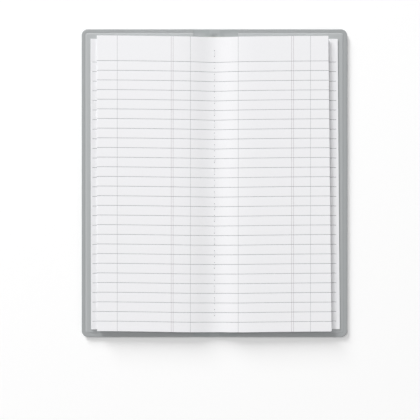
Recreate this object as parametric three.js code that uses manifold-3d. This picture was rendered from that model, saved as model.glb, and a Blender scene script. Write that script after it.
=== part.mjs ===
// Pocket tally book with a heat-sealed vinyl cover, lying open and flat at its centre spread.
// Millimetres. X runs across the spread with the back cover at +X, Y runs up the page, Z is up.
// The origin is on the table, under the middle of the spine.
import * as THREE from "three";
import { mergeVertices } from "three/addons/utils/BufferGeometryUtils.js";
import Module from "manifold-3d";

const wasm = await Module();
wasm.setup();

// Cover outline
const coverHeight = 210;
const panelWidth = 87.2; // hinge line to fore edge
const spineWidth = 6.8; // hinge line to hinge line
const cornerRadius = 4.2;
const innerCornerRadius = 1.05; // least radius of the corners inside the border
const cornerSteps = 8;

// Cover build-up: outer skin, stiffener board and liner, sealed together round the border
const skinThickness = 0.35;
const boardThickness = 0.8;
const linerThickness = 0.25;
const weldWidth = 2.5; // sealed border on the three outer sides
const hingeWeldWidth = 3.2; // sealed strip between the hinge line and the board's edge
const shoulderWidth = 2.2; // where the skin slopes from the border to the padded field
const shoulderSteps = 4;
const weldLineWidth = 0.45; // line pressed into the skin along the inside of the sealed border
const weldLineDepth = 0.12;
const boardClearance = 0.3;
const hingeGap = 0.15; // between a hinge line and each skin beside it
const spineBulge = 0.75; // how far the spine skin bows outwards
const spineLinerClearance = 0.15; // how much less the spine liner bows than the skin
const spineSteps = 10;

// Pockets and the card cover of the insert, which slips into them
const filmThickness = 0.2;
const filmSlope = 1;
const pocketThroat = 11.3; // hinge line to the open edge of the pocket
const throatCornerRadius = 1.6; // where the open edge runs into the border at head and foot
const cardThickness = 0.25;

// Paper insert: leaves sewn through the fold, in bundles that turn together
const pageClearance = 1.75; // head and foot of the page to the sealed edge of the pocket
const foreEdgeClearance = 2.9; // fore edge of the outer leaves to the sealed edge of the pocket
const foldDrawIn = 5.2; // how much further in the upper leaves end, because of their fold
const paperHingeClearance = 1.2; // cover paper keeps this far from the hinge line
const spinePaperInset = 0.5; // spine paper keeps this far inside its hinge lines
const spreadClearance = 0.15; // top leaf to the plane where the two halves meet
const foldGap = 0.3; // middle of the fold to the root of each leaf
const foldStack = 1.35; // pressed height of the leaves at the fold
const foreEdgeDrop = 0.3; // how much lower the stack is at its fore edge than at its crest
const valleyWidth = 10; // fold to the crest of the page
const valleySteps = 10;
const fieldSteps = 4;

// Each bundle's share of the stack, from the cover upwards
const outerLeavesShare = { from: 0, to: 0.21 };
const lowerLeavesShare = { from: 0.275, to: 0.6 };
const middleLeavesShare = { from: 0.64, to: 0.8 };
const topLeavesShare = { from: 0.84, to: 1 };

// Sewing
const threadDiameter = 0.25;
const threadSides = 6;
const threadClearance = 0.03;
const stitchLength = 4;
const stitchMargin = 8; // page edge to the first stitch
const foldedLeafThickness = 0.15;
const needleHoleDiameter = 0.5;
const needleHoleSides = 8;

// Levels worked out from the build-up
const halfSpine = spineWidth / 2;
const flangeHeight = boardThickness; // underside of the sealed border
const linerHeight = skinThickness + boardThickness;
const hingeHeight = linerHeight + linerThickness; // the cover bends about its inner face
const spreadHeight = hingeHeight + halfSpine; // where the two halves meet when the book is closed
const filmHeight = hingeHeight + cardThickness;
const stackBase = filmHeight + filmThickness;
const crestStack = spreadHeight - spreadClearance - stackBase;

// Sizes of the sheets, from the cover that holds them
const spineLinerBulge = spineBulge - spineLinerClearance;
const pageHeight = coverHeight - 2 * (weldWidth + filmSlope + pageClearance);
const leafWidth = halfSpine + panelWidth - weldWidth - filmSlope - foreEdgeClearance;
const innerLeafWidth = leafWidth - foldDrawIn;

// Levels of the stitches
const threadRadius = threadDiameter / 2;
const outerStitchHeight = filmHeight + threadClearance + threadRadius;
const foldedLeafHeight = outerStitchHeight + threadRadius + threadClearance;
const innerStitchHeight = stackBase + foldStack;

// Points nearer to each other than this are one point
const mergeTolerance = 1e-4;

const vinylColour = 0xa2acab;
const linerColour = 0xa4a9aa;
const filmColour = 0xb8bbbc;
const boardColour = 0x9a9184;
const cardColour = 0xe4e4e0;
const paperColour = 0xf2f3f4;
const threadColour = 0xfafafa;

const vinyl = new THREE.MeshStandardMaterial({ color: vinylColour, roughness: 0.45, metalness: 0 });
const liner = new THREE.MeshStandardMaterial({ color: linerColour, roughness: 0.5, metalness: 0 });
const film = new THREE.MeshStandardMaterial({ color: filmColour, roughness: 0.35, metalness: 0 });
const chipboard = new THREE.MeshStandardMaterial({ color: boardColour, roughness: 0.9, metalness: 0 });
const card = new THREE.MeshStandardMaterial({ color: cardColour, roughness: 0.8, metalness: 0 });
const paper = new THREE.MeshStandardMaterial({ color: paperColour, roughness: 0.85, metalness: 0 });
const thread = new THREE.MeshStandardMaterial({ color: threadColour, roughness: 0.7, metalness: 0 });

const book = new THREE.Group();

function smooth(t) {
  const held = THREE.MathUtils.clamp(t, 0, 1);
  return held * held * (3 - 2 * held);
}

// Only positions, with shared vertices, as the booleans need
function positionsOnly(geometry) {
  const bare = geometry.clone();
  for (const name of Object.keys(bare.attributes)) if (name !== "position") bare.deleteAttribute(name);
  return mergeVertices(bare, mergeTolerance);
}

function toSolid(geometry) {
  const merged = positionsOnly(geometry);
  return new wasm.Manifold(
    new wasm.Mesh({
      numProp: 3,
      vertProperties: merged.attributes.position.array,
      triVerts: new Uint32Array(merged.index.array),
    }),
  );
}

function toGeometry(solid) {
  const mesh = solid.getMesh();
  const geometry = new THREE.BufferGeometry();
  geometry.setAttribute("position", new THREE.BufferAttribute(mesh.vertProperties, 3));
  geometry.setIndex(new THREE.BufferAttribute(mesh.triVerts, 1));
  return geometry;
}

function add(name, geometry, material) {
  const shown = geometry.index ? geometry.toNonIndexed() : geometry;
  shown.computeVertexNormals();
  const mesh = new THREE.Mesh(shown, material);
  mesh.name = name;
  book.add(mesh);
}

// A panel's outline, counter-clockwise from above: square at the hinge, rounded at the fore edge
function panelOutline(hingeInset, inset) {
  const near = halfSpine + hingeInset;
  const far = halfSpine + panelWidth - inset;
  const half = coverHeight / 2 - inset;
  const radius = Math.max(cornerRadius - inset, innerCornerRadius);
  const points = [[near, -half]];
  for (const [centre, start] of [[-half + radius, -Math.PI / 2], [half - radius, 0]])
    for (let i = 0; i <= cornerSteps; i++) {
      const angle = start + ((Math.PI / 2) * i) / cornerSteps;
      points.push([far - radius + radius * Math.cos(angle), centre + radius * Math.sin(angle)]);
    }
  points.push([near, half]);
  return points;
}

function turned(triangle, mirrored) {
  const [a, b, c] = triangle;
  return mirrored ? [a, c, b] : [a, b, c];
}

// A closed solid through rings of equal count, from the underside's cap to the top's cap
function loft(rings, side) {
  const count = rings[0].outline.length;
  const positions = [];
  for (const { outline, height } of rings)
    for (const [x, y] of outline) positions.push(side * x, y, height);
  const faces = [];
  const last = (rings.length - 1) * count;
  for (let i = 1; i < count - 1; i++) faces.push([0, i + 1, i], [last, last + i, last + i + 1]);
  for (let ring = 0; ring < rings.length - 1; ring++)
    for (let i = 0; i < count; i++) {
      const a = ring * count + i;
      const b = ring * count + ((i + 1) % count);
      faces.push([a, b, b + count], [a, b + count, a + count]);
    }
  const geometry = new THREE.BufferGeometry();
  geometry.setAttribute("position", new THREE.Float32BufferAttribute(positions, 3));
  geometry.setIndex(faces.flatMap((face) => turned(face, side < 0)));
  return geometry;
}

function plate(hingeInset, inset, bottom, thickness, side) {
  const outline = panelOutline(hingeInset, inset);
  return loft([{ outline, height: bottom }, { outline, height: bottom + thickness }], side);
}

// One face of a sheet that steps from its sealed border to a field at another height
function steppedFace(slope, borderHeight, fieldHeight) {
  const rings = [{ outline: panelOutline(hingeGap, 0), height: borderHeight }];
  for (let i = 0; i <= shoulderSteps; i++) {
    const t = i / shoulderSteps;
    rings.push({
      outline: panelOutline(hingeWeldWidth + slope * t, weldWidth + slope * t),
      height: THREE.MathUtils.lerp(borderHeight, fieldHeight, smooth(t)),
    });
  }
  return rings;
}

function steppedSheet(slope, borderHeight, fieldHeight, thickness, side) {
  const under = steppedFace(slope, borderHeight, fieldHeight).reverse();
  const over = steppedFace(slope, borderHeight + thickness, fieldHeight + thickness);
  return loft([...under, ...over], side);
}

// The padded outer skin: its underside is the cover's outside, with the pressed line round the pad
function coverSkin(side) {
  const lineAt = (inset) => panelOutline(hingeWeldWidth - inset, weldWidth - inset);
  const [edge, ...padded] = steppedFace(shoulderWidth, flangeHeight, 0);
  const outside = [
    edge,
    { outline: lineAt(weldLineWidth), height: flangeHeight },
    { outline: lineAt(weldLineWidth / 2), height: flangeHeight + weldLineDepth },
    ...padded,
  ];
  const inside = steppedFace(shoulderWidth, flangeHeight + skinThickness, skinThickness);
  return loft([...outside.reverse(), ...inside], side);
}

function boxBetween(low, high) {
  const size = new THREE.Vector3().subVectors(high, low);
  const middle = new THREE.Vector3().addVectors(high, low).multiplyScalar(0.5);
  return new THREE.BoxGeometry(size.x, size.y, size.z).translate(middle.x, middle.y, middle.z);
}

// What is cut off the film on its spine side, from above: the open edge turns outwards at its ends
function throatOutline() {
  const near = halfSpine - hingeGap;
  const throat = halfSpine + pocketThroat;
  const centre = throat + throatCornerRadius;
  const half = coverHeight / 2;
  const turn = half - throatCornerRadius;
  const outline = new THREE.Shape();
  outline.moveTo(near, -coverHeight);
  outline.lineTo(centre, -coverHeight);
  outline.lineTo(centre, -half);
  outline.absarc(centre, -turn, throatCornerRadius, -Math.PI / 2, -Math.PI, true);
  outline.lineTo(throat, turn);
  outline.absarc(centre, turn, throatCornerRadius, Math.PI, Math.PI / 2, true);
  outline.lineTo(centre, coverHeight);
  outline.lineTo(near, coverHeight);
  return outline;
}

// The pocket film is sealed on three sides and open towards the spine
function pocketFilm(side) {
  const whole = toSolid(steppedSheet(filmSlope, hingeHeight, filmHeight, filmThickness, 1));
  const cut = { depth: spreadHeight, curveSegments: cornerSteps, bevelEnabled: false };
  const film = whole.subtract(toSolid(new THREE.ExtrudeGeometry(throatOutline(), cut)));
  return toGeometry(side > 0 ? film : film.mirror([1, 0, 0]));
}

// Draws a closed profile in X and Z, and runs it along Y
function alongPage(profile, length) {
  const shape = new THREE.Shape(profile.map(([x, z]) => new THREE.Vector2(x, z)));
  const geometry = new THREE.ExtrudeGeometry(shape, { depth: length, bevelEnabled: false });
  return geometry.rotateX(Math.PI / 2).translate(0, length / 2, 0);
}

function stackHeight(fromFold, width) {
  const rise = smooth((fromFold - foldGap) / (valleyWidth - foldGap));
  const fall = THREE.MathUtils.clamp((fromFold - valleyWidth) / (width - valleyWidth), 0, 1);
  return THREE.MathUtils.lerp(foldStack, crestStack, rise) - foreEdgeDrop * fall;
}

// A bundle of leaves from its root to its fore edge: foldAt is where its stack has its fold
function leafBundle(share, foldAt, root, foreEdge, side) {
  const crest = foldAt + valleyWidth;
  const stations = [];
  for (let i = 0; i <= valleySteps; i++) stations.push(root + ((crest - root) * i) / valleySteps);
  for (let i = 1; i <= fieldSteps; i++) stations.push(crest + ((foreEdge - crest) * i) / fieldSteps);
  const level = (x, part) => stackBase + part * stackHeight(x - foldAt, leafWidth);
  const over = stations.map((x) => [side * x, level(x, share.to)]).reverse();
  const under =
    share.from > 0
      ? stations.map((x) => [side * x, level(x, share.from)])
      : [root, foreEdge].map((x) => [side * x, stackBase]);
  return alongPage([...under, ...over], pageHeight);
}

function coverPanel(name, side) {
  const boardInset = shoulderWidth + boardClearance;
  const outline = [hingeWeldWidth + boardInset, weldWidth + boardInset];
  const board = plate(...outline, skinThickness, boardThickness, side);
  add(name + "_skin", coverSkin(side), vinyl);
  add(name + "_board", board, chipboard);
  add(name + "_liner", plate(hingeGap, 0, linerHeight, linerThickness, side), liner);
  add(name + "_pocket", pocketFilm(side), film);
}

// What the pockets hold: the card cover, and the outer leaves that lie on it
function pocketedPaper(name, side) {
  const root = halfSpine + paperHingeClearance;
  const edges = [side * root, side * leafWidth].sort((a, b) => a - b);
  const half = pageHeight / 2;
  const panel = boxBetween(
    new THREE.Vector3(edges[0], -half, hingeHeight),
    new THREE.Vector3(edges[1], half, filmHeight),
  );
  add(name + "_card", panel, card);
  add(name + "_outer_leaves", leafBundle(outerLeavesShare, spineWidth, root, leafWidth, side), paper);
}

function turningLeaves(name, side) {
  const bundle = (share) => leafBundle(share, 0, foldGap, innerLeafWidth, side);
  add(name + "_lower_leaves", bundle(lowerLeavesShare), paper);
  add(name + "_middle_leaves", bundle(middleLeavesShare), paper);
  add(name + "_top_leaves", bundle(topLeavesShare), paper);
}

// A spine strip that bows downwards between its two hinge lines
function bowedStrip(bottom, thickness, bulge) {
  const reach = halfSpine - hingeGap;
  const face = (height) =>
    Array.from({ length: spineSteps + 1 }, (_, i) => {
      const across = (2 * i) / spineSteps - 1;
      return [across * reach, height - bulge * (1 - across * across)];
    });
  return alongPage([...face(bottom), ...face(bottom + thickness).reverse()], coverHeight);
}

function stitchPlaces() {
  const room = pageHeight - 2 * stitchMargin;
  const stitches = 2 * Math.floor((room / stitchLength - 1) / 2) + 1; // first and last on the inside
  const start = (-stitches * stitchLength) / 2;
  return Array.from({ length: stitches + 1 }, (_, i) => start + i * stitchLength);
}

// A tube of constant section along a path in the YZ plane, mitred at its corners
function threadAlong(path) {
  const positions = [];
  path.forEach(([y, z], i) => {
    const before = new THREE.Vector2(...path[Math.max(i - 1, 0)]);
    const after = new THREE.Vector2(...path[Math.min(i + 1, path.length - 1)]);
    const here = new THREE.Vector2(y, z);
    const arriving = i > 0 ? here.clone().sub(before).normalize() : after.clone().sub(here).normalize();
    const leaving = i < path.length - 1 ? after.clone().sub(here).normalize() : arriving;
    const along = arriving.clone().add(leaving).normalize();
    const across = new THREE.Vector2(-along.y, along.x);
    const stretch = 1 / along.dot(leaving);
    for (let k = 0; k < threadSides; k++) {
      const angle = (2 * Math.PI * k) / threadSides;
      const reach = threadRadius * Math.cos(angle) * stretch;
      positions.push(threadRadius * Math.sin(angle), y + across.x * reach, z + across.y * reach);
    }
  });
  const faces = [];
  const last = (path.length - 1) * threadSides;
  for (let k = 1; k < threadSides - 1; k++) faces.push(0, k + 1, k, last, last + k, last + k + 1);
  for (let ring = 0; ring < path.length - 1; ring++)
    for (let k = 0; k < threadSides; k++) {
      const a = ring * threadSides + k;
      const b = ring * threadSides + ((k + 1) % threadSides);
      faces.push(a, b, b + threadSides, a, b + threadSides, a + threadSides);
    }
  const geometry = new THREE.BufferGeometry();
  geometry.setAttribute("position", new THREE.Float32BufferAttribute(positions, 3));
  geometry.setIndex(faces);
  return geometry;
}

function sewingThread() {
  const path = stitchPlaces().flatMap((y, i) =>
    i % 2 === 0
      ? [[y, outerStitchHeight], [y, innerStitchHeight]]
      : [[y, innerStitchHeight], [y, outerStitchHeight]],
  );
  return threadAlong(path);
}

// The outer leaves' folds cross the spine as one strip, pierced where the thread passes
function foldedLeaves() {
  const reach = halfSpine - spinePaperInset;
  const half = pageHeight / 2;
  let strip = toSolid(
    boxBetween(
      new THREE.Vector3(-reach, -half, foldedLeafHeight),
      new THREE.Vector3(reach, half, foldedLeafHeight + foldedLeafThickness),
    ),
  );
  for (const y of stitchPlaces()) {
    const hole = new THREE.CylinderGeometry(
      needleHoleDiameter / 2,
      needleHoleDiameter / 2,
      spreadHeight,
      needleHoleSides,
    );
    strip = strip.subtract(toSolid(hole.rotateX(Math.PI / 2).translate(0, y, foldedLeafHeight)));
  }
  return toGeometry(strip);
}

function spine() {
  const reach = halfSpine - spinePaperInset;
  const half = pageHeight / 2;
  const strip = boxBetween(
    new THREE.Vector3(-reach, -half, hingeHeight),
    new THREE.Vector3(reach, half, filmHeight),
  );
  add("spine_skin", bowedStrip(flangeHeight, skinThickness, spineBulge), vinyl);
  add("spine_liner", bowedStrip(linerHeight, linerThickness, spineLinerBulge), liner);
  add("spine_card", strip, card);
  add("folded_leaves", foldedLeaves(), paper);
  add("sewing_thread", sewingThread(), thread);
}

coverPanel("back", 1);
pocketedPaper("back", 1);
coverPanel("front", -1);
pocketedPaper("front", -1);
spine();
turningLeaves("right", 1);
turningLeaves("left", -1);

export default book;
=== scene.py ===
"""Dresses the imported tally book: padded vinyl cover, pocket films, card, ruled leaves and thread.

The book's lengths are written in millimetres and turned into metres by MM, and the studio's are
in metres. X runs across the spread, Y up the page and Z up out of it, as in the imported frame.
What differs from side to side is kept under 1 for the right, which is the back cover's side, and
under -1 for the left.
"""
import math

import bmesh
import bpy
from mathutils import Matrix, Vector


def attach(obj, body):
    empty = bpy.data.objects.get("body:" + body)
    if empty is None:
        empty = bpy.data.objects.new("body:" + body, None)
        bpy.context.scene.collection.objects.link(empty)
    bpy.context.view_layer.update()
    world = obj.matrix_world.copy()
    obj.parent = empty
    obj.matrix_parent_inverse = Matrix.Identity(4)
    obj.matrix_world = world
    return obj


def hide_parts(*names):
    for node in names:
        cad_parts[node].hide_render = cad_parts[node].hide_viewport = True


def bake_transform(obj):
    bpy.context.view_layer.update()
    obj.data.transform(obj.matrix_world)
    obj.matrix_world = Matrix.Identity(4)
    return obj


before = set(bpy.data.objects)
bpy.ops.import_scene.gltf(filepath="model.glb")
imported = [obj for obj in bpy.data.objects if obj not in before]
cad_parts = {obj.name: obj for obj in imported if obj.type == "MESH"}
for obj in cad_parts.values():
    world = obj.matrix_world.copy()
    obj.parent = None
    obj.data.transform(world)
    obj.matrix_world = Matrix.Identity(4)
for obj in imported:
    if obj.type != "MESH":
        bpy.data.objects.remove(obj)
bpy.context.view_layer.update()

MM = 0.001
MERGE_DISTANCE = 1e-6  # in metres

# Cover
COVER_HALF = 105.0
HALF_SPINE = 3.4
FORE_EDGE = 90.6
CORNER_RADIUS = 4.2
LEAST_RADIUS = 0.8  # of a corner that is moved in
CORNER_STEPS = 12
FLANGE_Z = 0.8
LINER_TOP_Z = 1.4
SKIN_THICKNESS = 0.35
LINER_THICKNESS = 0.25
SHEET_SHARP_ANGLE = 50

# Spine strip, which bows down between its sealed head and foot
SPINE_STEPS = 10
SKIN_BOW = 0.75
LINER_BOW = 0.6
BOW_RUN_OUT = 4.0
HINGE_TOLERANCE = 0.01  # how near the hinge line a point counts as on it
# Rows of points along the spine, as shares of the cover's half height
HINGE_ROWS = [-1, -0.985, -0.976, -0.968, -0.955, -0.94, -0.92, -0.8, -0.5, 0,
              0.5, 0.8, 0.92, 0.94, 0.955, 0.968, 0.976, 0.985, 1]

# Sealed border with the line pressed along it, and how far the sheets' cut edges turn up
WELD = 2.5
HINGE_WELD = 3.2
GROOVE_WIDTH = 0.45
SKIN_GROOVE = 0.12
FILM_GROOVE = 0.06
SKIN_EDGE_TURN = 0.06
LINER_EDGE_TURN = -0.04
FILM_EDGE_TURN = -0.05
# Rings of points across the border: the distance from the hinge line, and from the cut edge
SKIN_RINGS = [(0.3, 0.3), (0.8, 0.7), (1.3, 1.2), (1.9, 1.6)]
LINER_RINGS = [(0.3, 0.3), (0.8, 0.8), (1.3, 1.3), (1.9, 1.9)]
FILM_RINGS = [0.25, 0.7, 1.2, 1.7]

# Padded shoulder inside the skin's border, and how far inside its seal the liner is loose
SHOULDER = 2.2
SHOULDER_STEPS = 12
SHOULDER_FULLNESS = 0.8  # below 1, the shoulder swells sooner
LINER_LOOSE_AT = 0.5

# How sealed a sheet looks: at its seal's inner edge, where the slope past that starts, and how much
# of it is lost down the slope. On the skin, what runs on down the padded shoulder is painted shade
SEALED = 1.0
SKIN_SEAL_EDGE = 0.8
SKIN_SLOPE_SHADE_START = 0.6
SKIN_SLOPE_SHADE_FADE = 2.0
FILM_SEAL_EDGE = 0.85
FILM_SLOPE_START = 0.7
FILM_SLOPE_LOSS = 1.4
LINER_SEAL_EDGE = 0.6

# Pocket film, open at its throat towards the spine
THROAT = {1: 16.2, -1: 14.3}
THROAT_RADIUS = 1.6
FILM_THICKNESS = 0.2
FILM_RISE = 0.18
FILM_SLOPE = 1.0
FILM_STEPS = 8

# Folded card, whose columns lie close together where it bends
CARD_THICKNESS = 0.25
CARD_CLEARANCE = 0.02
LEAF_WIDTH = 84.2
CARD_COLUMNS = [0.0, 0.8, 1.5, 1.9, 2.3, 2.7, 3.1, 3.5, 3.9, 4.3, 4.7, 5.1, 5.4, 6.0, 30.0, 60.0,
                LEAF_WIDTH]
CARD_ROWS = [-99.75, -60.0, -20.0, 20.0, 60.0, 99.75]

# Points of one leaf, as shares of its reach and its half height
LEAF_STATIONS = [0, 0.004, 0.009, 0.015, 0.021, 0.028, 0.035, 0.042, 0.05, 0.058, 0.067, 0.077,
                 0.088, 0.1, 0.113, 0.128, 0.16, 0.24, 0.36, 0.5, 0.66, 0.82, 0.91, 0.925, 0.94,
                 0.955, 0.97, 0.985, 1.0]
LEAF_ROWS = [-1, -0.6, -0.2, 0.2, 0.6, 1]
LEAF_SHARP_ANGLE = 40
PAPER_FILL = 0.86  # the share of a leaf's room in the stack that is paper and not air
LEAF_SLANT = 0.0016  # how much a leaf may lie askew, for each millimetre out from the fold
SAG_POWER = 1.5  # how fast a leaf slides down the page towards the fold

# Lengths of the stacks of leaves, under the names of the leaf tree's inputs
EVERY_STACK = {"Base": 1.85, "Dip from": 0.3, "Dip to": 19.0, "Fold stack": 1.4, "Crest stack": 2.8,
               "Widest": LEAF_WIDTH, "Fore drop": 0.3, "Lift from": 2.9, "Lift to": 5.0,
               "Curl from": 77.0, "Trim from": -0.12, "Trim to": 0.05}
LANE_STACK = {"Half height": 98.9, "Dip from": 2 * HALF_SPINE + 0.3, "Dip to": 2 * HALF_SPINE + 19.0,
              "Fold stack": 1.0, "Stagger": 0.12, "Root lift": 0.1, "Shift": -0.6}
LANE_SIDES = {1: {"Fore edge": 84.6, "Lean": -0.7, "Step": -1.0, "Curl": 0.4},
              -1: {"Fore edge": 84.2, "Lean": 0.2, "Step": -0.15, "Curl": 0.7}}
UPPER_SIDES = {1: {"Stagger": 0.25, "Lean": -1.1, "Rise at fold": -0.8, "Shift": -0.4},
               -1: {"Stagger": 0.25, "Lean": 0.1, "Rise at fold": -1.1, "Shift": -0.1}}
UPPER_REACH = {1: 78.1, -1: 79.5}

LANE_SEED = 11
LANE_LEAVES = 6
LANE_SHARE = (0.0, 0.21)
# Each bundle that turns: name, seed, leaves, share of the stack, how much shorter than the widest
# bundle it is, and its half height
BUNDLES = [("lower", 31, 9, (0.275, 0.6), 0.5, 99.3),
           ("middle", 41, 4, (0.64, 0.8), 0.2, 99.8),
           ("top", 51, 4, (0.84, 1.0), 0.0, 100.2)]

# Ruling of a page, in its own millimetres from the fold and from the page's middle
UV_MM = 100.0  # one unit of the page's UV map
RULES = 28
RULE_PITCH = 6.54
LAST_RULE = -93.4
RULE_END = 83.0
INK_WIDTH = 0.28
INK_EDGE = 0.03
UPRIGHT_INK = 0.62
RECTO_GREY = (16.1, 65.1)
RECTO_RED = (52.3, 53.6)
VERSO_GREY = (16.3, 65.9)
VERSO_RED = (28.0, 29.3)

# Thread, and the painted shade of the needle holes in the page for it
THREAD_DIAMETER = 0.25
PLY_SIDES = 7
THREAD_STEP = 0.16
TWIST_PITCH = 1.1
STITCH = 4.0
STITCHES = 45
OUTER_STITCH_Z = 1.8
INNER_STITCH_Z = 3.3
# The way through a hole: places along the fold, and shares of the change in height
HOLE_PASSAGE = [(-0.3, 0.0), (-0.1, 0.12), (0.1, 0.88), (0.3, 1.0)]
HOLE_RADIUS = (0.2, 0.32)  # where a hole's painted shade is full, and where it has faded out at the rim
FOLD_SHIFT = -1.2  # the upper leaves' shift and their rise at the fold together

# Widths of the marks in the materials' patterns
VINYL_CLOUDS = 16.0
VINYL_GRAIN = 0.7  # the real grain is about 0.3, and this is the least that shows in the render
VINYL_FINE_GRAIN = 0.2  # drawn coarser than the real one too
FILM_CLOUDS = 11.0
FILM_FROST = 0.24  # the real frosting is finer than 0.05
BOARD_PULP = 1.4
BOARD_SPECKS = 0.4
CARD_FIBRES = 0.65  # clumps, because a single fibre of about 0.03 can't show
PAPER_FIBRES = 1.1  # clumps as well, which are wider in thin paper
EDGE_FUZZ = 0.33  # three leaves together, since one of 0.1 can't show
INK_GAPS = 0.55  # coarser than the real ones, so that the lines look uneven in the render
THREAD_FILAMENTS = 0.2  # real filaments are about 0.02

MATH = "ShaderNodeMath"
RANGE = "ShaderNodeMapRange"
MIX = "ShaderNodeMix"
NOISE = "ShaderNodeTexNoise"
BUMP = "ShaderNodeBump"
SHADER = "ShaderNodeBsdfPrincipled"
COMBINE = "ShaderNodeCombineXYZ"
VINYL_IOR = 1.53
UNCOATED_SPECULAR = 0.25


def linear(hex_colour):
    """sRGB hex to the linear colour that a shader socket takes."""
    channels = [int(hex_colour[i:i + 2], 16) / 255 for i in (0, 2, 4)]
    return [c / 12.92 if c <= 0.04045 else ((c + 0.055) / 1.055) ** 2.4 for c in channels] + [1.0]


def scale_for(width):
    """A texture's scale for a pattern whose marks are this many millimetres wide."""
    return 1 / (width * MM)


def node(tree, kind, inputs=(), **settings):
    """Adds a node with its settings and its inputs, which are listed in order or given by name.

    An input is a value, the socket that feeds it, or the node whose first socket in use does.
    """
    made = tree.nodes.new(kind)
    for name, value in settings.items():
        setattr(made, name, value)
    by_key = inputs if isinstance(inputs, dict) else dict(enumerate(inputs))
    for key, value in by_key.items():
        if isinstance(key, int):
            socket = made.inputs[key]
        else:
            socket = next(item for item in made.inputs if item.enabled and item.name == key)
        if isinstance(value, bpy.types.Node):
            value = next(output for output in value.outputs if output.enabled)
        if isinstance(value, bpy.types.NodeSocket):
            tree.links.new(value, socket)
        else:
            socket.default_value = value
    return made


def bare_tree(owner):
    """The node tree of a material or a world, cleared."""
    owner.use_nodes = True
    owner.node_tree.nodes.clear()
    return owner.node_tree


def new_material(name):
    """A material with a cleared tree: (material, tree, object coordinates)."""
    material = bpy.data.materials.new(name)
    tree = bare_tree(material)
    return material, tree, node(tree, "ShaderNodeTexCoord").outputs["Object"]


# Calendered vinyl sheet: satin, with a leather-like grain that the heat seal presses smooth and dark
# On the cover skin, the darker seal colour is also painted shade on the low flange and down the shoulder
def calendered_vinyl(name, field, clouded, sealed, relief, roughness):
    material, tree, place = new_material(name)
    seal_and_shade = node(tree, "ShaderNodeAttribute", attribute_name="seal_and_shade").outputs["Fac"]
    cloudy = node(tree, NOISE, {"Vector": place, "Scale": scale_for(VINYL_CLOUDS), "Detail": 4.0})
    clouds = node(tree, RANGE, {"Value": cloudy, "From Min": 0.35, "From Max": 0.75, "To Max": 0.35},
                  interpolation_type="SMOOTHSTEP")
    sheet = node(tree, MIX, {"Factor": clouds, "A": linear(field), "B": linear(clouded)},
                 data_type="RGBA")
    # Darker where sealed; on the cover skin this darkening is also painted shade on the flange and
    # shoulder
    colour = node(tree, MIX, {"Factor": seal_and_shade, "A": sheet, "B": linear(sealed)}, data_type="RGBA")
    cells = node(tree, "ShaderNodeTexVoronoi", {"Vector": place, "Scale": scale_for(VINYL_GRAIN),
                                                "Randomness": 0.9}, feature="SMOOTH_F1")
    fine = node(tree, NOISE, {"Vector": place, "Scale": scale_for(VINYL_FINE_GRAIN)})
    grain = node(tree, MIX, {"Factor": 0.2, "A": cells, "B": fine})
    left_by_seal = node(tree, RANGE, {"Value": seal_and_shade, "To Min": 1.0, "To Max": 0.25},
                        interpolation_type="SMOOTHSTEP")
    pressed = node(tree, MATH, (grain, left_by_seal), operation="MULTIPLY")
    uneven = node(tree, RANGE, {"Value": cloudy, "From Min": 0.2, "From Max": 0.8,
                                "To Min": roughness - 0.05, "To Max": roughness + 0.07},
                  interpolation_type="SMOOTHSTEP")
    seal_gloss = node(tree, RANGE, {"Value": seal_and_shade, "To Max": 0.1})
    rough = node(tree, MATH, (uneven, seal_gloss), operation="SUBTRACT")
    bumps = node(tree, BUMP, {"Height": pressed, "Distance": relief * MM, "Strength": 0.6})
    shader = node(tree, SHADER, {"Base Color": colour, "Roughness": rough, "IOR": VINYL_IOR,
                                 "Normal": bumps})
    node(tree, "ShaderNodeOutputMaterial", {"Surface": shader})
    return material


# Frosted vinyl film: milky where it stands off the liner, the liner's grey where it is sealed to it
def frosted_film(name, field, milk, sealed):
    material, tree, place = new_material(name)
    seal_and_shade = node(tree, "ShaderNodeAttribute", attribute_name="seal_and_shade").outputs["Fac"]
    cloudy = node(tree, NOISE, {"Vector": place, "Scale": scale_for(FILM_CLOUDS), "Detail": 5.0,
                                "Roughness": 0.6})
    clouds = node(tree, RANGE, {"Value": cloudy, "To Max": 0.3})
    milky = node(tree, MIX, {"Factor": clouds, "A": linear(field), "B": linear(milk)}, data_type="RGBA")
    colour = node(tree, MIX, {"Factor": seal_and_shade, "A": milky, "B": linear(sealed)}, data_type="RGBA")
    frost = node(tree, NOISE, {"Vector": place, "Scale": scale_for(FILM_FROST)})
    rough = node(tree, RANGE, {"Value": cloudy, "From Min": 0.2, "From Max": 0.8, "To Min": 0.62,
                               "To Max": 0.72}, interpolation_type="SMOOTHSTEP")
    bumps = node(tree, BUMP, {"Height": frost, "Distance": 0.006 * MM, "Strength": 0.5})
    shader = node(tree, SHADER, {"Base Color": colour, "Roughness": rough, "IOR": VINYL_IOR,
                                 "Normal": bumps})
    node(tree, "ShaderNodeOutputMaterial", {"Surface": shader})
    return material


# Grey chipboard: pulp pressed rough and uncoated, with darker specks
def pressed_chipboard(name, dark_pulp, pale_pulp, speck):
    material, tree, place = new_material(name)
    pulp = node(tree, NOISE, {"Vector": place, "Scale": scale_for(BOARD_PULP), "Detail": 6.0,
                              "Roughness": 0.65})
    speckled = node(tree, NOISE, {"Vector": place, "Scale": scale_for(BOARD_SPECKS)})
    specks = node(tree, RANGE, {"Value": speckled, "From Min": 0.62, "From Max": 0.72, "To Max": 0.6},
                  interpolation_type="SMOOTHSTEP")
    body = node(tree, MIX, {"Factor": pulp, "A": linear(dark_pulp), "B": linear(pale_pulp)},
                data_type="RGBA")
    colour = node(tree, MIX, {"Factor": specks, "A": body, "B": linear(speck)}, data_type="RGBA")
    bumps = node(tree, BUMP, {"Height": pulp, "Distance": 0.03 * MM, "Strength": 0.7})
    shader = node(tree, SHADER, {"Base Color": colour, "Roughness": 0.92, "Normal": bumps})
    node(tree, "ShaderNodeOutputMaterial", {"Surface": shader})
    return material


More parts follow.
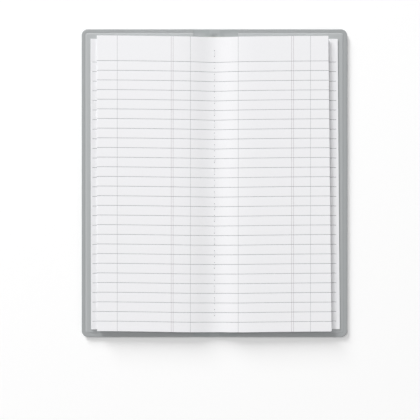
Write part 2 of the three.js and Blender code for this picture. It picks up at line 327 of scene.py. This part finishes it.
# Uncoated card and cut paper: no gloss, and faint mottling where the fibres clump
def uncoated_stock(name, shade, pale, fibre_width, detail, roughness):
    material, tree, place = new_material(name)
    fibres = node(tree, NOISE, {"Vector": place, "Scale": scale_for(fibre_width), "Detail": detail,
                                "Roughness": 0.6})
    colour = node(tree, MIX, {"Factor": fibres, "A": linear(shade), "B": linear(pale)}, data_type="RGBA")
    bumps = node(tree, BUMP, {"Height": fibres, "Distance": 0.01 * MM, "Strength": 0.6})
    shader = node(tree, SHADER, {"Base Color": colour, "Roughness": roughness, "Normal": bumps,
                                 "Specular IOR Level": UNCOATED_SPECULAR})
    node(tree, "ShaderNodeOutputMaterial", {"Surface": shader})
    return material


def ink_line(tree, place, at):
    """How much ink lies at this place on the page from a line at another, with soft edges."""
    offset = node(tree, MATH, (place, at), operation="SUBTRACT")
    distance = node(tree, MATH, (offset,), operation="ABSOLUTE")
    return node(tree, RANGE, {"Value": distance, "From Min": INK_WIDTH / 2 - INK_EDGE,
                              "From Max": INK_WIDTH / 2 + INK_EDGE, "To Min": 1.0, "To Max": 0.0},
                interpolation_type="SMOOTHSTEP")


def upright_ink(tree, across, places):
    """The ink of a pair of uprights, which are printed fainter than the rules."""
    pair = node(tree, MATH, [ink_line(tree, across, at) for at in places], operation="MAXIMUM")
    return node(tree, MATH, (pair, UPRIGHT_INK), operation="MULTIPLY")


def rule_ink(tree, across, up):
    """The ink of the nearest of the page's rules, which stop short of the fore edge."""
    steps = node(tree, RANGE, {"Value": up, "From Min": LAST_RULE,
                               "From Max": LAST_RULE + RULE_PITCH * (RULES - 1), "To Max": RULES - 1.0})
    nearest = node(tree, MATH, (steps,), operation="ROUND")
    at = node(tree, MATH, (nearest, RULE_PITCH, LAST_RULE), operation="MULTIPLY_ADD")
    printed = node(tree, MATH, (across, RULE_END), operation="LESS_THAN")
    return node(tree, MATH, (ink_line(tree, up, at), printed), operation="MULTIPLY")


def needle_hole_shade(tree, across, up):
    """Painted shade at the needle holes on the fold where the thread goes through, one at each end of a
    stitch.
    """
    from_hole = node(tree, MATH, (up, FOLD_SHIFT - STITCH / 2), operation="ADD")
    along = node(tree, MATH, (from_hole, STITCH / 2), operation="PINGPONG")
    offset = node(tree, COMBINE, (across, along))
    distance = node(tree, "ShaderNodeVectorMath", (offset,), operation="LENGTH")
    prick_shade = node(tree, RANGE, {"Value": distance, "From Min": HOLE_RADIUS[0], "From Max": HOLE_RADIUS[1],
                               "To Min": 1.0, "To Max": 0.0}, interpolation_type="SMOOTHSTEP")
    sewn_half = STITCH * (STITCHES / 2 + 0.25)  # up to just past the last hole
    sewn = node(tree, MATH, (up, -FOLD_SHIFT, sewn_half), operation="COMPARE")
    return node(tree, MATH, (prick_shade, sewn), operation="MULTIPLY")


# Ledger paper: uncoated, cool white, ruled in grey and faint red ink that takes unevenly; painted hole
# shade
def ruled_paper(name, grey_uprights, red_uprights):
    material, tree, place = new_material(name)
    page = node(tree, "ShaderNodeUVMap", uv_map="UVMap")
    in_mm = node(tree, "ShaderNodeVectorMath", {"Vector": page, "Scale": UV_MM}, operation="SCALE")
    across, up, _ = node(tree, "ShaderNodeSeparateXYZ", (in_mm,)).outputs
    blots = node(tree, NOISE, {"Vector": place, "Scale": scale_for(INK_GAPS)})
    worn = node(tree, RANGE, {"Value": blots, "From Min": 0.25, "From Max": 0.6, "To Min": 0.7},
                interpolation_type="SMOOTHSTEP")
    grey = node(tree, MATH, (rule_ink(tree, across, up), upright_ink(tree, across, grey_uprights)),
                operation="MAXIMUM")
    red = upright_ink(tree, across, red_uprights)
    worn_grey, worn_red = (node(tree, MATH, (ink, worn), operation="MULTIPLY") for ink in (grey, red))
    fibres = node(tree, NOISE, {"Vector": place, "Scale": scale_for(PAPER_FIBRES), "Detail": 6.0,
                                "Roughness": 0.62})
    colour = node(tree, MIX, {"Factor": fibres, "A": linear("f0f0f2"), "B": linear("f6f6f8")},
                  data_type="RGBA")
    hole_shade = needle_hole_shade(tree, across, up)
    # The grey 8b8e92 at the needle holes is painted shade, since the leaves have no real holes
    for mark, ink in ((worn_grey, "8a8e91"), (worn_red, "9c9095"), (hole_shade, "8b8e92")):
        colour = node(tree, MIX, {"Factor": mark, "A": colour, "B": linear(ink)}, data_type="RGBA")
    bumps = node(tree, BUMP, {"Height": fibres, "Distance": 0.008 * MM, "Strength": 0.5})
    shader = node(tree, SHADER, {"Base Color": colour, "Roughness": 0.86, "Normal": bumps,
                                 "Specular IOR Level": UNCOATED_SPECULAR})
    node(tree, "ShaderNodeOutputMaterial", {"Surface": shader})
    return material


# Polyester thread: twisted from white, slightly glossy filaments
def twisted_polyester(name, shade, pale):
    material, tree, place = new_material(name)
    # At a scale of 1, a wave texture's bands come every 2 pi / 10 along an axis
    bands = node(tree, "ShaderNodeTexWave", {"Vector": place, "Distortion": 2.0,
                                             "Scale": scale_for(THREAD_FILAMENTS) * 2 * math.pi / 10},
                 bands_direction="DIAGONAL").outputs["Fac"]
    colour = node(tree, MIX, {"Factor": bands, "A": linear(shade), "B": linear(pale)}, data_type="RGBA")
    bumps = node(tree, BUMP, {"Height": bands, "Distance": 0.01 * MM, "Strength": 0.5})
    shader = node(tree, SHADER, {"Base Color": colour, "Roughness": 0.55, "Sheen Weight": 0.3,
                                 "Normal": bumps})
    node(tree, "ShaderNodeOutputMaterial", {"Surface": shader})
    return material


# The skin's darker sealed colour also stands for painted shade on its low flange and shoulder slope
COVER_VINYL = calendered_vinyl("calendered_cover_vinyl", "a1aaa9", "a7b0af", "97a0a0", 0.05, 0.48)
LINER_VINYL = calendered_vinyl("calendered_liner_vinyl", "a0a4a5", "a6aaab", "9a9fa0", 0.035, 0.5)
FILM = frosted_film("frosted_pocket_film", "aaadae", "bdc0c1", "9fa2a3")
BOARD = pressed_chipboard("pressed_grey_chipboard", "8d8477", "a79e90", "5f574c")
# The card is a warm white, and the paper's cut edge is a cool one with the fuzz of cut fibres
CARD = uncoated_stock("uncoated_insert_card", "dedcd6", "e9e8e3", CARD_FIBRES, 5.0, 0.82)
PAPER_EDGE = uncoated_stock("guillotined_paper_edge", "e6e7e9", "f3f4f6", EDGE_FUZZ, 3.0, 0.9)
RECTO = ruled_paper("ruled_ledger_paper_right", RECTO_GREY, RECTO_RED)
VERSO = ruled_paper("ruled_ledger_paper_left", VERSO_GREY, VERSO_RED)
THREAD = twisted_polyester("twisted_polyester_thread", "e4e6e8", "fbfcfc")


def link_object(name, data, *materials):
    """Puts a mesh, curve, light or camera into the scene as an object."""
    made = bpy.data.objects.new(name, data)
    bpy.context.scene.collection.objects.link(made)
    for material in materials:
        data.materials.append(material)
    return made


def frozen(source, name):
    """A plain mesh object from an object whose modifiers are kept in its shape."""
    graph = bpy.context.evaluated_depsgraph_get()
    mesh = bpy.data.meshes.new_from_object(source.evaluated_get(graph))
    mesh.name = name
    bpy.data.objects.remove(source)
    return link_object(name, mesh)


def modifier_tree(name, sockets):
    """A geometry tree for a modifier, from its inputs' names and kinds: (tree, its inputs)."""
    tree = bpy.data.node_groups.new(name, "GeometryNodeTree")
    tree.is_modifier = True
    tree.interface.new_socket("Geometry", in_out="OUTPUT", socket_type="NodeSocketGeometry")
    for socket, kind in sockets.items():
        tree.interface.new_socket(socket, in_out="INPUT", socket_type="NodeSocket" + kind)
    return tree, node(tree, "NodeGroupInput").outputs


def shaped(source, tree, values, name):
    """A plain mesh object: the source as a geometry tree shapes it with these inputs."""
    modifier = source.modifiers.new(tree.name, "NODES")
    modifier.node_group = tree
    sockets = [item for item in tree.interface.items_tree if item.in_out == "INPUT"]
    identifiers = {socket.name: socket.identifier for socket in sockets}
    for name_of_input, value in values.items():
        modifier[identifiers[name_of_input]] = value
    return frozen(source, name)


def lerp(a, b, t):
    return a + (b - a) * t


def eased(t):
    """A smooth step from 0 to 1."""
    t = min(max(t, 0.0), 1.0)
    return t * t * (3 - 2 * t)


# Vinyl sheets

def ring(near, inset):
    """A panel's outline moved in by inset: the hinge line's foot, round the fore edge, and its head."""
    far, half = FORE_EDGE - inset, COVER_HALF - inset
    radius = max(CORNER_RADIUS - inset, LEAST_RADIUS)
    points = [(near, -half)]
    for centre, start in ((-half + radius, -90.0), (half - radius, 0.0)):
        for i in range(CORNER_STEPS + 1):
            angle = math.radians(start + 90.0 * i / CORNER_STEPS)
            points.append((far - radius + radius * math.cos(angle), centre + radius * math.sin(angle)))
    return points + [(near, half)]


def hinge_side(near, inset):
    """The rest of that outline: back along the hinge line from head to foot."""
    return [(near, -(COVER_HALF - inset) * row) for row in HINGE_ROWS[1:-1]]


class Sheet:
    """Collects the points and faces of one open sheet; side -1 mirrors it in X."""

    def __init__(self, side):
        self.side = side
        self.points = []
        self.faces = []
        self.seal_and_shade = []

    def row(self, points, height, seal_and_shade):
        """Adds a row of points, whose height is a number or a function of X and Y."""
        start = len(self.points)
        for x, y in points:
            z = height(x, y) if callable(height) else height
            self.points.append((self.side * x * MM, y * MM, z * MM))
            self.seal_and_shade.append(seal_and_shade)
        return list(range(start, len(self.points)))

    def bridge(self, rows, closed):
        """Fills the strip between each row and the next with faces."""
        for first, second in zip(rows, rows[1:]):
            count = len(first)
            for i in range(count if closed else count - 1):
                j = (i + 1) % count
                self.faces.append((first[i], first[j], second[j], second[i]))

    def mesh(self, name, upwards):
        """The sheet as a mesh whose faces look up or down."""
        made = bpy.data.meshes.new(name)
        made.from_pydata(self.points, [], self.faces)
        attribute = made.attributes.new("seal_and_shade", "FLOAT", "POINT")
        attribute.data.foreach_set("value", self.seal_and_shade)
        shape = bmesh.new()
        shape.from_mesh(made)
        bmesh.ops.remove_doubles(shape, verts=shape.verts, dist=MERGE_DISTANCE)
        lift = sum(face.normal.z * face.calc_area() for face in shape.faces)
        if (lift > 0) != upwards:
            bmesh.ops.reverse_faces(shape, faces=shape.faces)
        for face in shape.faces:
            face.smooth = True
        shape.to_mesh(made)
        shape.free()
        return made


def thicken(sheet, name, material, thickness, upwards):
    """Gives the sheet its thickness behind the modelled face."""
    source = link_object(name + "_face", sheet.mesh(name, upwards), material)
    solid = source.modifiers.new("thickness", "SOLIDIFY")
    solid.thickness = thickness * MM
    solid.offset = -1
    solid.use_even_offset = True
    made = frozen(source, name)
    made.data.set_sharp_from_angle(angle=math.radians(SHEET_SHARP_ANGLE))
    return made


def bowed(flat, bow):
    """Height of a spine strip that bows down, less so near its sealed head and foot."""
    def height(x, y):
        ends = eased((COVER_HALF - WELD - abs(y)) / BOW_RUN_OUT)
        return flat - bow * ends * (1 - (x / HALF_SPINE) ** 2)
    return height


def turned_edge(flat, turn):
    """Height of a sheet's outline, whose cut edges turn a little and whose hinge line doesn't."""
    return lambda x, y: flat if x < HALF_SPINE + HINGE_TOLERANCE else flat + turn


def cover_sheet(side, profile, flat, bow):
    """One half of a vinyl sheet, from the spine's centre to the fore edge.

    The profile lists its rings: distance from the hinge line, from the cut edge, height, and how sealed
    it looks, which down the skin's shoulder is painted shade.
    """
    sheet = Sheet(side)
    rows = [-COVER_HALF * row for row in HINGE_ROWS]
    columns = [HALF_SPINE * i / SPINE_STEPS for i in range(SPINE_STEPS + 1)]
    strips = [sheet.row([(x, y) for y in rows], bowed(flat, bow), 0.0) for x in columns]
    sheet.bridge(strips, closed=False)
    rings = []
    for hinge_inset, inset, height, seal_and_shade in profile:
        near = HALF_SPINE + hinge_inset
        rings.append(sheet.row(ring(near, inset) + hinge_side(near, inset), height, seal_and_shade))
    sheet.bridge(rings, closed=True)
    sheet.faces.append(tuple(rings[-1]))
    return sheet


def skin_profile():
    """Sealed border, pressed line along it, then the padded shoulder, painted with shade, down to the
    flat field.
    """
    rings = [(0.0, 0.0, turned_edge(FLANGE_Z, SKIN_EDGE_TURN), SEALED)]
    rings += [(*insets, FLANGE_Z, SEALED) for insets in SKIN_RINGS]
    rings += [(HINGE_WELD - GROOVE_WIDTH, WELD - GROOVE_WIDTH, FLANGE_Z, SEALED),
              (HINGE_WELD - GROOVE_WIDTH / 2, WELD - GROOVE_WIDTH / 2, FLANGE_Z + SKIN_GROOVE, SEALED),
              (HINGE_WELD, WELD, FLANGE_Z, SKIN_SEAL_EDGE)]
    for i in range(1, SHOULDER_STEPS + 1):
        t = i / SHOULDER_STEPS
        height = lerp(FLANGE_Z, 0.0, eased(t ** SHOULDER_FULLNESS))
        # Past the seal, the seal's darker colour fades down the shoulder as painted shade
        seal_and_shade = max(0.0, SKIN_SLOPE_SHADE_START - SKIN_SLOPE_SHADE_FADE * t)
        rings.append((HINGE_WELD + SHOULDER * t, WELD + SHOULDER * t, height, seal_and_shade))
    return rings


def liner_profile():
    """Sealed border, and the loose field level with it."""
    rings = [(0.0, 0.0, turned_edge(LINER_TOP_Z, LINER_EDGE_TURN), SEALED)]
    rings += [(*insets, LINER_TOP_Z, SEALED) for insets in LINER_RINGS]
    return rings + [(HINGE_WELD, WELD, LINER_TOP_Z, LINER_SEAL_EDGE),
                    (HINGE_WELD + LINER_LOOSE_AT, WELD + LINER_LOOSE_AT, LINER_TOP_Z, 0.0)]


def bend_at_hinge(piece):
    """Bakes a piece's placement into its mesh, for a piece that runs over the hinge line between the
    spine and a cover.
    """
    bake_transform(piece)


def make_cover(name, side):
    """The outer skin and the liner, each in one piece from the spine's centre to the fore edge."""
    skin = thicken(cover_sheet(side, skin_profile(), FLANGE_Z, SKIN_BOW), name + "_outer_vinyl",
                   COVER_VINYL, SKIN_THICKNESS, upwards=False)
    bend_at_hinge(skin)
    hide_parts(name + "_skin", "spine_skin")
    liner = thicken(cover_sheet(side, liner_profile(), LINER_TOP_Z, LINER_BOW), name + "_liner_sheet",
                    LINER_VINYL, LINER_THICKNESS, upwards=True)
    bend_at_hinge(liner)
    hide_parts(name + "_liner", "spine_liner")


def throat_at(side, inset):
    """Where the film's free edge lies: rounded off where it meets the head and foot."""
    short = max(THROAT_RADIUS - inset, 0.0)
    return THROAT[side] + THROAT_RADIUS - math.sqrt(THROAT_RADIUS ** 2 - short ** 2)


def make_pocket(name, body, side):
    """Pocket film, sealed on three sides; its free edge lifts a little between the seals."""
    sheet = Sheet(side)
    low = LINER_TOP_Z + FILM_THICKNESS
    steps = [(0.0, low + FILM_EDGE_TURN, SEALED)] + [(inset, low, SEALED) for inset in FILM_RINGS]
    steps += [(WELD - GROOVE_WIDTH, low, SEALED), (WELD - GROOVE_WIDTH / 2, low - FILM_GROOVE, SEALED),
              (WELD, low, FILM_SEAL_EDGE)]
    for i in range(1, FILM_STEPS + 1):
        t = i / FILM_STEPS
        seal_and_shade = max(0.0, FILM_SLOPE_START - FILM_SLOPE_LOSS * t)
        steps.append((WELD + FILM_SLOPE * t, low + FILM_RISE * eased(t), seal_and_shade))
    rings = [sheet.row(ring(throat_at(side, inset), inset), height, seal_and_shade)
             for inset, height, seal_and_shade in steps]
    sheet.bridge(rings, closed=False)
    sheet.faces.append(tuple(rings[-1]))
    film = thicken(sheet, name + "_pocket_film", FILM, FILM_THICKNESS, upwards=True)
    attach(film, body)
    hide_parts(name + "_pocket")


def make_card(name, side):
    """One half of the folded card: spine centre to fore edge."""
    sheet = Sheet(side)
    top = LINER_TOP_Z + CARD_THICKNESS
    sheet.bridge([sheet.row([(x, y) for y in CARD_ROWS], top, 0.0) for x in CARD_COLUMNS], closed=False)
    card = thicken(sheet, name + "_card_cover", CARD, CARD_THICKNESS - CARD_CLEARANCE, upwards=True)
    bend_at_hinge(card)
    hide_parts(name + "_card", "spine_card")


# Leaves, repeated by a node tree

def leaf_tree():
    """Repeats the sheet that it is given into a stack of leaves that dips into the fold."""
    numbers = ("Side", "Share from", "Share to", "Paper fill", "Slant", "Fore edge", "Half height",
               "Base", "Dip from", "Dip to", "Fold stack", "Crest stack", "Widest", "Fore drop",
               "Stagger", "Lean", "Step", "Trim from", "Trim to", "Lift from", "Lift to", "Root lift",
               "Curl from", "Curl", "Shift", "Rise at fold")
    tree, given = modifier_tree("leaf_stack", {
        "Leaf": "Geometry", "Leaves": "Int", "Seed": "Int", **dict.fromkeys(numbers, "Float"),
        **dict.fromkeys(("Upper face", "Cut edge", "Under face"), "Material")})

    points = node(tree, "GeometryNodeMeshLine", {"Count": given["Leaves"], "Offset": (0, 0, 0)})
    copies = node(tree, "GeometryNodeInstanceOnPoints", {"Points": points, "Instance": given["Leaf"]})
    counted = node(tree, "GeometryNodeCaptureAttribute", {"Geometry": copies}, domain="INSTANCE")
    counted.capture_items.new("INT", "Leaf number")
    tree.links.new(node(tree, "GeometryNodeInputIndex").outputs["Index"], counted.inputs["Leaf number"])
    number = counted.outputs["Leaf number"]
    leaves = node(tree, "GeometryNodeRealizeInstances", {"Geometry": counted})
    # The sheet runs from 0 to 1 out from its root, from -1 to 1 up the page and from 0 to 1 through it
    position = node(tree, "GeometryNodeInputPosition")
    out, up, through = node(tree, "ShaderNodeSeparateXYZ", (position,)).outputs

    draws = []
    ranges = ((0.0, -1.0, 1.0), (7.0, -1.0, 1.0), (13.0, given["Trim from"], given["Trim to"]))
    for salt, low, high in ranges:
        seed = node(tree, MATH, (given["Seed"], salt), operation="ADD")
        draws.append(node(tree, "FunctionNodeRandomValue",
                          {"Min": low, "Max": high, "ID": number, "Seed": seed}, data_type="FLOAT"))
    stagger, turn, trim = draws

    # Across the page
    reach = given["Fore edge"]
    for factor, length in ((stagger, "Stagger"), (up, "Lean"), (number, "Step")):
        reach = node(tree, MATH, (factor, given[length], reach), operation="MULTIPLY_ADD")
    x = node(tree, MATH, (out, reach), operation="MULTIPLY")

    # Up out of the page: the leaf's share of the stack, which is low at the fold and at the fore edge
    crest = node(tree, RANGE, {"Value": x, "From Min": given["Dip from"], "From Max": given["Dip to"],
                               "To Min": given["Fold stack"], "To Max": given["Crest stack"]},
                 interpolation_type="SMOOTHSTEP")
    drop = node(tree, RANGE, {"Value": x, "From Min": given["Dip to"], "From Max": given["Widest"],
                              "To Max": given["Fore drop"]})
    stack = node(tree, MATH, (crest, drop), operation="SUBTRACT")
    layer = node(tree, MATH, (through, given["Paper fill"], number), operation="MULTIPLY_ADD")
    share = node(tree, RANGE, {"Value": layer, "From Max": given["Leaves"],
                               "To Min": given["Share from"], "To Max": given["Share to"]})
    lift = node(tree, RANGE, {"Value": x, "From Min": given["Lift from"], "From Max": given["Lift to"],
                              "To Min": given["Root lift"], "To Max": 0.0},
                interpolation_type="SMOOTHSTEP")
    beyond = node(tree, RANGE, {"Value": x, "From Min": given["Curl from"],
                                "From Max": given["Fore edge"]}, clamp=False)
    curling = node(tree, MATH, (beyond, 0.0), operation="MAXIMUM")
    curl = node(tree, MATH, (curling, curling), operation="MULTIPLY")
    z = node(tree, MATH, (given["Base"], lift), operation="ADD")
    for factor, length in ((share, stack), (curl, given["Curl"])):
        z = node(tree, MATH, (factor, length, z), operation="MULTIPLY_ADD")

    # Along the page
    half = node(tree, MATH, (given["Half height"], trim), operation="ADD")
    slant = node(tree, MATH, (turn, given["Slant"]), operation="MULTIPLY")
    inwards = node(tree, MATH, (1.0, out), operation="SUBTRACT")
    sag = node(tree, MATH, (inwards, SAG_POWER), operation="POWER")
    y = given["Shift"]
    for factor, length in ((up, half), (slant, x), (sag, given["Rise at fold"])):
        y = node(tree, MATH, (factor, length, y), operation="MULTIPLY_ADD")

    sided = node(tree, MATH, (x, given["Side"]), operation="MULTIPLY")
    moved = node(tree, COMBINE, (sided, y, z))
    printed = node(tree, MATH, (up, given["Half height"]), operation="MULTIPLY")
    page = node(tree, "ShaderNodeVectorMath", {"Vector": node(tree, COMBINE, (x, printed)),
                                               "Scale": 1 / (MM * UV_MM)}, operation="SCALE")
    marked = node(tree, "GeometryNodeCaptureAttribute", {"Geometry": leaves}, domain="FACE")
    marked.capture_items.new("FLOAT", "Level")
    tree.links.new(through, marked.inputs["Level"])
    mapped = node(tree, "GeometryNodeStoreNamedAttribute",
                  {"Geometry": marked, "Name": "UVMap", "Value": page},
                  data_type="FLOAT2", domain="CORNER")
    surface = node(tree, "GeometryNodeSetPosition", {"Geometry": mapped, "Position": moved})
    # A face's level is 1 on the upper face, 0.5 on a cut edge and 0 on the under face
    for material, below in (("Upper face", 2.0), ("Cut edge", 0.9), ("Under face", 0.1)):
        chosen = node(tree, MATH, (marked.outputs["Level"], below), operation="LESS_THAN")
        surface = node(tree, "GeometryNodeSetMaterial",
                       {"Geometry": surface, "Selection": chosen, "Material": given[material]})
    node(tree, "NodeGroupOutput", (surface,))
    return tree


LEAF_TREE = leaf_tree()


def unit_leaf(side):
    """A closed slab in leaf coordinates: X root to fore edge, Y foot to head, Z under face to upper."""
    shape = bmesh.new()
    low, high = ([[shape.verts.new((u, v, w)) for v in LEAF_ROWS] for u in LEAF_STATIONS]
                 for w in (0, 1))
    last_u, last_v = len(LEAF_STATIONS) - 1, len(LEAF_ROWS) - 1
    for grid, order in ((low, -1), (high, 1)):
        for i in range(last_u):
            for j in range(last_v):
                quad = (grid[i][j], grid[i + 1][j], grid[i + 1][j + 1], grid[i][j + 1])
                shape.faces.new(quad[::order]).smooth = True
    for i in range(last_u):
        shape.faces.new((low[i][0], low[i + 1][0], high[i + 1][0], high[i][0]))
        shape.faces.new((low[i + 1][last_v], low[i][last_v], high[i][last_v], high[i + 1][last_v]))
    for j in range(last_v):
        shape.faces.new((low[0][j + 1], low[0][j], high[0][j], high[0][j + 1]))
        shape.faces.new((low[last_u][j], low[last_u][j + 1], high[last_u][j + 1], high[last_u][j]))
    if side < 0:
        bmesh.ops.reverse_faces(shape, faces=shape.faces)
    mesh = bpy.data.meshes.new("unit_leaf")
    shape.to_mesh(mesh)
    shape.free()
    return mesh


def leaf_stack(name, side, seed, leaves, share, lengths):
    """A stack of leaves as one plain mesh.

    The right page's ruling is on the face that is up on the right.
    """
    upper, under = (RECTO, VERSO) if side > 0 else (VERSO, RECTO)
    values = {"Side": float(side), "Seed": seed, "Leaves": leaves, "Share from": share[0],
              "Share to": share[1], "Paper fill": PAPER_FILL, "Slant": LEAF_SLANT, "Upper face": upper,
              "Cut edge": PAPER_EDGE, "Under face": under}
    for socket, length in {**EVERY_STACK, **lengths}.items():
        values[socket] = length * MM
    made = shaped(link_object(name + "_unit", unit_leaf(side), upper), LEAF_TREE, values, name)
    made.data.set_sharp_from_angle(angle=math.radians(LEAF_SHARP_ANGLE))
    return made


def bend_at_fold(piece):
    """Bakes a bundle's placement into its mesh."""
    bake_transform(piece)


def make_leaves(side_name, cover_name, side):
    """All the leaves on one side: those in the pocket's lane, and three bundles that turn."""
    lane = leaf_stack(cover_name + "_lane_leaves", side, LANE_SEED + side, LANE_LEAVES, LANE_SHARE,
                      {**LANE_STACK, **LANE_SIDES[side]})
    bend_at_hinge(lane)
    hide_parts(cover_name + "_outer_leaves", "folded_leaves")
    for level, seed, leaves, share, shorter, half in BUNDLES:
        child = f"{side_name}_{level}"
        lengths = {"Fore edge": UPPER_REACH[side] - shorter, "Half height": half, **UPPER_SIDES[side]}
        bundle = leaf_stack(child + "_pages", side, seed + side, leaves, share, lengths)
        bend_at_fold(bundle)
        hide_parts(child + "_leaves")


# Thread, which follows its path through the fold

def thread_tree():
    """Sweeps two twisted plies along the curve that it is given."""
    tree, given = modifier_tree("twisted_thread", {
        "Path": "Geometry", "Ply radius": "Float", "Step": "Float", "Turn each metre": "Float",
        "Material": "Material"})
    even = node(tree, "GeometryNodeResampleCurve", {"Curve": given["Path"], "Length": given["Step"]},
                mode="LENGTH")
    along = node(tree, "GeometryNodeSplineParameter").outputs["Length"]
    turn = node(tree, MATH, (along, given["Turn each metre"]), operation="MULTIPLY")
    twisted = node(tree, "GeometryNodeSetCurveTilt", {"Curve": even, "Tilt": turn})
    section = node(tree, "GeometryNodeJoinGeometry")
    for way in (1.0, -1.0):
        ply = node(tree, "GeometryNodeCurvePrimitiveCircle",
                   {"Resolution": PLY_SIDES, "Radius": given["Ply radius"]})
        aside = node(tree, MATH, (given["Ply radius"], way), operation="MULTIPLY")
        moved = node(tree, "GeometryNodeTransform",
                     {"Geometry": ply, "Translation": node(tree, COMBINE, (aside,))})
        tree.links.new(moved.outputs["Geometry"], section.inputs["Geometry"])
    swept = node(tree, "GeometryNodeCurveToMesh",
                 {"Curve": twisted, "Profile Curve": section, "Fill Caps": True})
    smooth = node(tree, "GeometryNodeSetShadeSmooth", {"Geometry": swept})
    real = node(tree, "GeometryNodeRealizeInstances", {"Geometry": smooth})
    coated = node(tree, "GeometryNodeSetMaterial", {"Geometry": real, "Material": given["Material"]})
    node(tree, "NodeGroupOutput", (coated,))
    return tree


def make_thread():
    """Running stitch: on the inside of the fold for one stitch, behind it for the next."""
    path = []
    heights = (OUTER_STITCH_Z, INNER_STITCH_Z)
    for i in range(STITCHES + 1):
        y = (i - STITCHES / 2) * STITCH
        path += [(y + ahead, lerp(*heights, rise)) for ahead, rise in HOLE_PASSAGE]
        heights = heights[::-1]
    curve = bpy.data.curves.new("thread_path", "CURVE")
    curve.dimensions = "3D"
    spline = curve.splines.new("POLY")
    spline.points.add(len(path) - 1)
    for point, (y, z) in zip(spline.points, path):
        point.co = (0, y * MM, z * MM, 1)
    values = {"Ply radius": THREAD_DIAMETER / 4 * MM, "Step": THREAD_STEP * MM,
              "Turn each metre": 2 * math.pi / (TWIST_PITCH * MM), "Material": THREAD}
    thread = shaped(link_object("thread_path", curve), thread_tree(), values, "running_stitch")
    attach(thread, "spine")
    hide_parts("sewing_thread")


# Studio

FLOOR_SIZE = 6.0
FLOOR_GAP = 0.02  # in millimetres, below the book
FLOOR_GLOW = 0.04  # what the camera sees on top of the floor's own light
SKY_LIGHT = 0.25  # the world's strength for the rays that light the book
LIGHT_DISTANCE = 6.0
CAMERA_HEIGHT = 0.4014
LENS = 50.2
SENSOR_WIDTH = 36.0
FRAME_PIXELS = 420.0
BOOK_OFFSET_PIXELS = (4.45, 26.9)


def make_stage():
    """A pale matt floor that keeps the book's shadow."""
    bpy.ops.mesh.primitive_plane_add(size=FLOOR_SIZE, location=(0, 0, -FLOOR_GAP * MM))
    floor = bpy.context.object
    floor.name = "studio_floor"
    material = bpy.data.materials.new("pale_floor")
    tree = bare_tree(material)
    seen = node(tree, "ShaderNodeLightPath").outputs["Is Camera Ray"]
    glow = node(tree, MATH, (seen, FLOOR_GLOW), operation="MULTIPLY")
    lit = node(tree, "ShaderNodeEmission", {"Color": linear("ffffff"), "Strength": glow})
    matt = node(tree, SHADER, {"Base Color": linear("ffffff"), "Roughness": 1.0,
                               "Specular IOR Level": 0.0})
    total = node(tree, "ShaderNodeAddShader", (matt, lit))
    node(tree, "ShaderNodeOutputMaterial", {"Surface": total})
    floor.data.materials.append(material)


def area_light(name, azimuth, elevation, size, share):
    """A square light aimed at the book; share is the brightness that it gives a level white sheet."""
    turn, rise = math.radians(azimuth), math.radians(elevation)
    towards = Vector((math.cos(turn) * math.cos(rise), math.sin(turn) * math.cos(rise), math.sin(rise)))
    data = bpy.data.lights.new(name, "AREA")
    data.size = size
    data.energy = share * (math.pi * LIGHT_DISTANCE) ** 2 / math.sin(rise)
    made = link_object(name, data)
    made.location = towards * LIGHT_DISTANCE
    made.rotation_euler = (-towards).to_track_quat("-Z", "Y").to_euler()


def make_lights():
    """Soft light from the upper left, and a sky that looks white and lights the book less."""
    area_light("low_key_light", azimuth=121, elevation=17, size=2.0, share=0.38)
    area_light("high_light", azimuth=130, elevation=58, size=2.6, share=0.31)
    area_light("far_fill", azimuth=-40, elevation=25, size=3.0, share=0.05)
    world = bpy.data.worlds.new("studio")
    tree = bare_tree(world)
    rays = node(tree, "ShaderNodeLightPath").outputs
    mirrored = node(tree, MATH, (rays["Is Glossy Ray"], rays["Is Transmission Ray"]),
                    operation="MAXIMUM")
    seen = node(tree, MATH, (rays["Is Camera Ray"], mirrored), operation="MAXIMUM")
    strength = node(tree, RANGE, {"Value": seen, "To Min": SKY_LIGHT, "To Max": 1.0})
    sky = node(tree, "ShaderNodeBackground", {"Color": linear("ffffff"), "Strength": strength})
    node(tree, "ShaderNodeOutputWorld", {"Surface": sky})
    bpy.context.scene.world = world


def make_camera():
    """Straight above the open book, which lies above the middle of the frame."""
    data = bpy.data.cameras.new("camera")
    data.lens = LENS
    data.sensor_width = SENSOR_WIDTH
    data.shift_x = -BOOK_OFFSET_PIXELS[0] / FRAME_PIXELS
    data.shift_y = -BOOK_OFFSET_PIXELS[1] / FRAME_PIXELS
    made = link_object("camera", data)
    made.location = (0, 0, CAMERA_HEIGHT)
    bpy.context.scene.camera = made


make_camera()
bpy.context.scene.view_settings.view_transform = "Standard"
for cover_name, body, side in (("back", "back_cover", 1), ("front", "front_cover", -1)):
    make_cover(cover_name, side)
    make_pocket(cover_name, body, side)
    make_card(cover_name, side)
    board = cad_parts[cover_name + "_board"]
    board.data.materials.clear()
    board.data.materials.append(BOARD)
make_leaves("right", "back", 1)
make_leaves("left", "front", -1)
make_thread()
make_stage()
make_lights()
